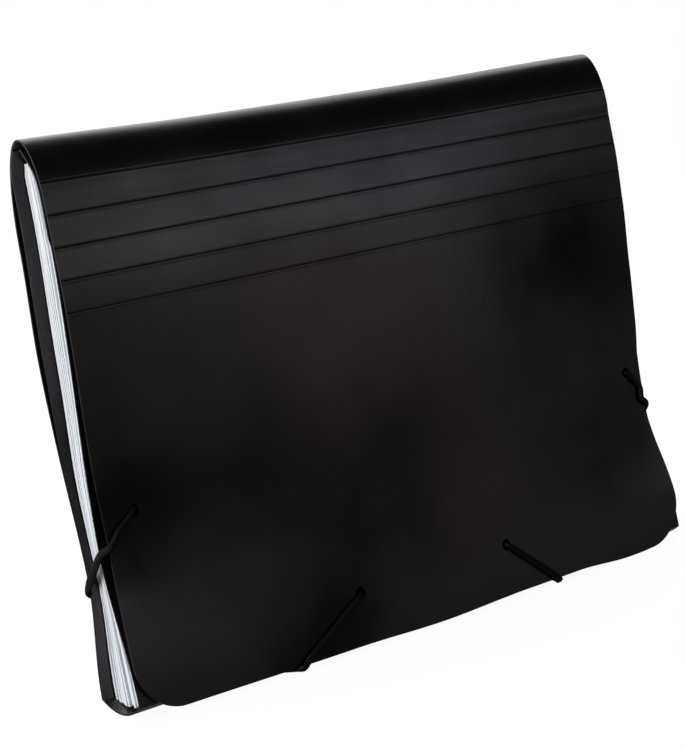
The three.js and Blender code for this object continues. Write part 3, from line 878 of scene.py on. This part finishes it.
def cord_stations(name, side, crossing):
    """Points of the cord's centre line with the side of it that faces away from the file, and its width."""
    lift = CORD_THICK / 2 + CORD_CLEAR
    stations = []

    def add(inset, depth, height, away, width=CORD_WIDTH):
        stations.append(((side * (HALF_WIDTH - inset), depth, height), away, width))

    def on_flap(inset, height, width=CORD_WIDTH):
        x = side * (HALF_WIDTH - inset)
        depth = float(flap_face(x, height) + sheet_waves(x, height)) - lift
        add(inset, depth, height, (0, -1, 0), width)

    def on_back(inset, height, width=CORD_WIDTH):
        depth = float(back_face(side * (HALF_WIDTH - inset), height)) + lift
        add(inset, depth, height, (0, 1, 0), width)

    (side_x, side_height), (low_x, low_height) = HOLES[name]["side"], HOLES[name]["bottom"]
    flap_turn = FLAP_TURNS[name]
    side_inset, low_inset = HALF_WIDTH - abs(side_x), HALF_WIDTH - abs(low_x)
    side_depth = float(flap_face(side_x, side_height))
    low_depth = float(flap_face(low_x, low_height))
    flap_side = float(flap_face(side * HALF_WIDTH, flap_turn))
    back_side = float(back_face(side * HALF_WIDTH, BACK_TURN))
    back_inset = crossing - CROSSING_SLANT
    back_x = side * (HALF_WIDTH - back_inset)
    fold = float(back_fold(back_x))
    back_foot = float(back_face(back_x, fold + 1))
    front_x = side * (HALF_WIDTH - crossing)
    edge = float(flap_edge(front_x))
    flap_foot = float(flap_face(front_x, edge))
    diagonal = DIAGONAL * lift
    side_lift = CORD_WIDTH * CORD_THICK / FLAT_WIDTH / 2 + CORD_CLEAR
    tuck = HALF_WIDTH - float(flap_half_width(flap_turn, side))

    # out of the side hole and over the flap to its edge
    add(side_inset, side_depth + SHEET + KNOT_BEHIND, side_height, (side, 0, 0.4), THIN_WIDTH)
    add(side_inset - 0.2, side_depth, side_height - 0.1, (side, -0.2, 0.6), THIN_WIDTH)
    add(side_inset - 1.4, side_depth - 0.8 * lift, side_height - 0.9, (0, -1, 0.4), THIN_WIDTH)
    on_flap(mix(0, side_inset, 0.7), mix(flap_turn, side_height, 0.74), 2.2)
    on_flap(mix(0, side_inset, 0.4), mix(flap_turn, side_height, 0.47), 2.5)
    on_flap(tuck + 2, flap_turn + 2.2, 2.9)
    add(tuck - 0.6 * side_lift, flap_side - diagonal, flap_turn, (0.7 * side, -0.7, 0), 3.1)
    # round the side edges of the flap and the back
    add(-side_lift, flap_side + 3, flap_turn - 2.1, (side, 0, 0), TURN_WIDTH)
    add(-side_lift, mix(flap_side, back_side, 0.5), mix(flap_turn, BACK_TURN, 0.42), (side, 0, 0), FLAT_WIDTH)
    add(-side_lift, back_side - 2, BACK_TURN + 3, (side, 0, 0), FLAT_WIDTH)
    add(-0.6 * side_lift, back_side + diagonal, BACK_TURN, (0.7 * side, 0.7, 0), TURN_WIDTH)
    # slanting over the back to its foot, and under the file
    on_back(4, BACK_TURN - 3.6, 3.5)
    for share in (0.3, 0.55, 0.78):
        on_back(back_inset * share, mix(BACK_TURN, fold, share))
    on_back(back_inset - 3, fold + 3, 3.5)
    add(back_inset - 0.4, back_foot + diagonal, fold - 0.7, (0, 0.8, -0.6), TURN_WIDTH)
    add(back_inset + 1.6, back_foot - 0.9, fold - 2.3 * lift, (0, 0.3, -1), TURN_WIDTH)
    under = bottom_height(front_x) - CORD_THICK / 2 - CORD_CLEAR
    add(back_inset + 6, 8, under, (0, 0, -1), 3.5)
    add(crossing - 6, -6, under, (0, 0, -1), 3.5)
    add(crossing - 1.2, flap_foot + 2, under, (0, 0, -1), TURN_WIDTH)
    # round the flap's lower edge and up to the bottom hole
    add(crossing, flap_foot - diagonal, edge - diagonal, (0, -0.7, -0.7), TURN_WIDTH)
    for share in (0.12, 0.35, 0.6, 0.85):
        inset, height = mix(crossing, low_inset, share), mix(edge, low_height, share)
        on_flap(inset, height, 3.4 - 0.7 * share)
    add(low_inset - 1.2, low_depth - 0.8 * lift, low_height - 0.8, (0, -1, 0.4), THIN_WIDTH)
    add(low_inset - 0.2, low_depth, low_height - 0.1, (side, -0.2, 0.6), THIN_WIDTH)
    add(low_inset, low_depth + SHEET + KNOT_BEHIND, low_height, (side, 0, 0.4), THIN_WIDTH)
    return stations


def spline_through(values, steps):
    """Centripetal Catmull-Rom through rows of values whose first three numbers are a place."""
    values = np.asarray(values, float)
    ends = np.vstack([2 * values[0] - values[1], values, 2 * values[-1] - values[-2]])
    gaps = np.linalg.norm(np.diff(ends[:, :3], axis=0), axis=1) ** 0.5
    knots = np.concatenate([[0], np.cumsum(gaps)])
    made = []
    for t in np.linspace(knots[1], knots[-2], steps):
        i = min(max(int(np.searchsorted(knots, t, "right")) - 1, 1), len(ends) - 3)
        p, k = ends[i - 1:i + 3], knots[i - 1:i + 3]
        a = [mix(p[j], p[j + 1], (t - k[j]) / (k[j + 1] - k[j])) for j in range(3)]
        b = [mix(a[j], a[j + 1], (t - k[j]) / (k[j + 2] - k[j])) for j in range(2)]
        made.append(mix(b[0], b[1], (t - k[1]) / (k[2] - k[1])))
    return np.array(made)


def braided_cord(name, side):
    """A tube along the stations whose section flattens against the file, with the braid raised on it."""
    stations = cord_stations(name, side, CROSSING_INSET[name])
    line = spline_through([(*place, *away, width) for place, away, width in stations], 640)
    centre, away, width = line[:, :3], line[:, 3:6], line[:, 6]
    along = np.gradient(centre, axis=0)
    step = np.linalg.norm(along, axis=1)
    along /= step[:, None]
    length = np.cumsum(step)
    away = away - along * np.sum(away * along, axis=1)[:, None]
    away /= np.linalg.norm(away, axis=1)[:, None]
    across = np.cross(along, away)
    area = CORD_WIDTH * CORD_THICK
    thick = np.minimum(area / width, width)
    angle = np.linspace(0, 2 * math.pi, CORD_SIDES, endpoint=False)
    turn = 2 * math.pi * length[:, None] / BRAID_PITCH
    strands = CORD_SIDES / 4
    weave = np.maximum(np.sin(strands * angle[None] + turn), np.sin(strands * angle[None] - turn))
    raised = BRAID_HEIGHT * (weave - 0.7)
    wide_part = np.cos(angle)[None] * (width[:, None] / 2 + raised)
    thick_part = np.sin(angle)[None] * (thick[:, None] / 2 + raised)
    rings = centre[:, None] + across[:, None] * wide_part[..., None] + away[:, None] * thick_part[..., None]
    count, size = rings.shape[:2]
    points = np.concatenate([rings.reshape(-1, 3), centre[:1], centre[-1:]])
    faces = []
    for r in range(count - 1):
        for i in range(size):
            a, b = r * size + i, r * size + (i + 1) % size
            faces.append((a, b, b + size, a + size))
    for i in range(size):
        nearby = (i + 1) % size
        faces.append((count * size, nearby, i))
        faces.append((count * size + 1, (count - 1) * size + i, (count - 1) * size + nearby))
    made = make_object(name, points, faces)
    outward(made)
    return made


def elastic_material():
    """Woven black elastic: dull fibres with a faint lighter nap."""
    material, tree, shader = node_material("woven_elastic")
    fibres = noise_node(tree, 1800, detail=3)
    tint = ramp_node(tree, fibres, [(0.35, (0.001, 0.001, 0.0012, 1)), (0.7, (0.005, 0.005, 0.0056, 1))])
    tree.links.new(tint, shader.inputs["Base Color"])
    shader.inputs["Roughness"].default_value = 0.62
    shader.inputs["Specular IOR Level"].default_value = 0.16
    tree.links.new(bump_node(tree, fibres, 0.5, 0.00012), shader.inputs["Normal"])
    return material


woven_elastic = elastic_material()
KNOT_SPREAD = 3.2 / 2.9 * 0.8
KNOT_DEPTH = 0.75
KNOT_LIFT = 1.75
KNOT_CORD_RADIUS = 0.95


def knot_object(name, x, height):
    """A flat overhand knot behind the flap, too big for the hole."""
    turns = np.linspace(0, 2 * math.pi, 64, endpoint=False)
    loop = np.stack([
        np.sin(turns) + 1.6 * np.sin(2 * turns),
        -0.55 * np.sin(3 * turns),
        np.cos(turns) - 1.6 * np.cos(2 * turns),
    ], -1)
    middle = np.array([x, float(flap_face(x, height)) + SHEET + KNOT_LIFT, height])
    centre = loop * np.array([KNOT_SPREAD, KNOT_DEPTH, KNOT_SPREAD]) + middle
    along = np.roll(centre, -1, 0) - np.roll(centre, 1, 0)
    along /= np.linalg.norm(along, axis=1)[:, None]
    side_way = np.cross(along, (0, 1, 0))
    side_way /= np.linalg.norm(side_way, axis=1)[:, None]
    up_way = np.cross(side_way, along)
    angle = np.linspace(0, 2 * math.pi, 12, endpoint=False)
    rings = centre[:, None] + KNOT_CORD_RADIUS * (
        side_way[:, None] * np.cos(angle)[None, :, None] + up_way[:, None] * np.sin(angle)[None, :, None]
    )
    count, size = rings.shape[:2]
    faces = []
    for r in range(count):
        for i in range(size):
            after, nearby = (r + 1) % count, (i + 1) % size
            faces.append((r * size + i, r * size + nearby, after * size + nearby, after * size + i))
    made = make_object(name, rings.reshape(-1, 3), faces)
    outward(made)
    return made


def joined(name, parts):
    """Makes one object of several."""
    work = bmesh.new()
    for part in parts:
        work.from_mesh(part.data)
        bpy.data.objects.remove(part)
    mesh = bpy.data.meshes.new(name)
    work.to_mesh(mesh)
    work.free()
    made = bpy.data.objects.new(name, mesh)
    scene.collection.objects.link(made)
    return made


for name, side in (("left", -1), ("right", 1)):
    cord = braided_cord(name, side)
    knots = [knot_object(f"{name}_{which}_knot", *HOLES[name][which]) for which in ("side", "bottom")]
    elastic = joined(f"{name}_elastic_cord", [cord, *knots])
    elastic.data.shade_smooth()
    elastic.data.materials.append(woven_elastic)
    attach(elastic, "flap")
    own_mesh(elastic)
    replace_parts(elastic, f"{name}_elastic")


# The floor and the light: a white table under a white surround, a wide soft light overhead, a soft light
# from the left for the pockets' ends and a dim one on the right whose reflection lies across the score lines.
def area_light(name, place, target, size, watts):
    lamp = bpy.data.lights.new(name, "AREA")
    lamp.shape = "RECTANGLE"
    lamp.size, lamp.size_y = size
    lamp.energy = watts
    made = bpy.data.objects.new(name, lamp)
    made.location = place
    made.rotation_mode = "QUATERNION"
    made.rotation_quaternion = (Vector(target) - Vector(place)).to_track_quat("-Z", "Y")
    scene.collection.objects.link(made)


area_light("overhead", place=(0.8, 0.8, 1.35), target=(0.45, 0.5, 0), size=(1.7, 1.0), watts=9)
area_light("left_soft", place=(-1.5, -0.35, 0.6), target=(0, 0, 0.15), size=(0.9, 0.9), watts=22)
area_light("right_sheen", place=(1.05, -1.55, 0.38), target=(0, 0, 0.19), size=(0.9, 0.42), watts=1.3)

FLOOR_REACH = 5
FLOOR_ALBEDO = 0.1
FLOOR_GLOW = 0.95
FLOOR_MIRRORED = 0.12
SHADOW_REACH = (0.25, 0.7)
floor_mesh = bpy.data.meshes.new("floor")
floor_mesh.from_pydata(
    [(-FLOOR_REACH, -FLOOR_REACH, 0), (FLOOR_REACH, -FLOOR_REACH, 0),
     (FLOOR_REACH, FLOOR_REACH, 0), (-FLOOR_REACH, FLOOR_REACH, 0)],
    [], [(0, 1, 2, 3)],
)
floor = bpy.data.objects.new("floor", floor_mesh)
scene.collection.objects.link(floor)


def white_floor_material():
    """White to the camera, with the object's shadow kept, and dark to everything else."""
    material = bpy.data.materials.new("white_floor")
    material.use_nodes = True
    tree = material.node_tree
    tree.nodes.remove(tree.nodes["Principled BSDF"])
    output = tree.nodes["Material Output"]
    paint = tree.nodes.new("ShaderNodeBsdfDiffuse")
    paint.inputs["Color"].default_value = (FLOOR_ALBEDO, FLOOR_ALBEDO, FLOOR_ALBEDO, 1)
    place = tree.nodes.new("ShaderNodeTexCoord")
    away = tree.nodes.new("ShaderNodeVectorMath")
    away.operation = "LENGTH"
    tree.links.new(place.outputs["Object"], away.inputs[0])
    whiter = tree.nodes.new("ShaderNodeMapRange")
    whiter.inputs["From Min"].default_value, whiter.inputs["From Max"].default_value = SHADOW_REACH
    whiter.inputs["To Min"].default_value = FLOOR_GLOW
    whiter.inputs["To Max"].default_value = 1
    tree.links.new(away.outputs["Value"], whiter.inputs["Value"])
    path = tree.nodes.new("ShaderNodeLightPath")
    seen = tree.nodes.new("ShaderNodeMath")
    seen.operation = "MULTIPLY"
    tree.links.new(path.outputs["Is Camera Ray"], seen.inputs[0])
    tree.links.new(whiter.outputs["Result"], seen.inputs[1])
    mirrored = tree.nodes.new("ShaderNodeMath")
    mirrored.operation = "MULTIPLY_ADD"
    mirrored.inputs[1].default_value = FLOOR_MIRRORED
    tree.links.new(path.outputs["Is Glossy Ray"], mirrored.inputs[0])
    tree.links.new(seen.outputs[0], mirrored.inputs[2])
    glow = tree.nodes.new("ShaderNodeEmission")
    tree.links.new(mirrored.outputs[0], glow.inputs["Strength"])
    both = tree.nodes.new("ShaderNodeAddShader")
    tree.links.new(paint.outputs[0], both.inputs[0])
    tree.links.new(glow.outputs[0], both.inputs[1])
    tree.links.new(both.outputs[0], output.inputs["Surface"])
    return material


floor.data.materials.append(white_floor_material())

# The surround: a lit white backdrop behind the file and a dark room in front of it.
BACKDROP_LIGHT = 0.9
ROOM_LIGHT = 0.03
world = bpy.data.worlds.new("surround")
scene.world = world
world.use_nodes = True
sky = world.node_tree.nodes["Background"]
way = world.node_tree.nodes.new("ShaderNodeTexCoord")
parts = world.node_tree.nodes.new("ShaderNodeSeparateXYZ")
world.node_tree.links.new(way.outputs["Generated"], parts.inputs[0])
behind = world.node_tree.nodes.new("ShaderNodeMapRange")
behind.interpolation_type = "SMOOTHSTEP"
behind.inputs["From Min"].default_value = -0.2
behind.inputs["From Max"].default_value = 0.7
behind.inputs["To Min"].default_value = ROOM_LIGHT
behind.inputs["To Max"].default_value = BACKDROP_LIGHT
world.node_tree.links.new(parts.outputs["Y"], behind.inputs["Value"])
seen = world.node_tree.nodes.new("ShaderNodeLightPath")
level = world.node_tree.nodes.new("ShaderNodeMapRange")
level.inputs["To Max"].default_value = 1
world.node_tree.links.new(behind.outputs["Result"], level.inputs["To Min"])
world.node_tree.links.new(seen.outputs["Is Camera Ray"], level.inputs["Value"])
world.node_tree.links.new(level.outputs["Result"], sky.inputs["Strength"])
sky.inputs["Color"].default_value = (1, 1, 1, 1)
scene.view_settings.view_transform = "Standard"
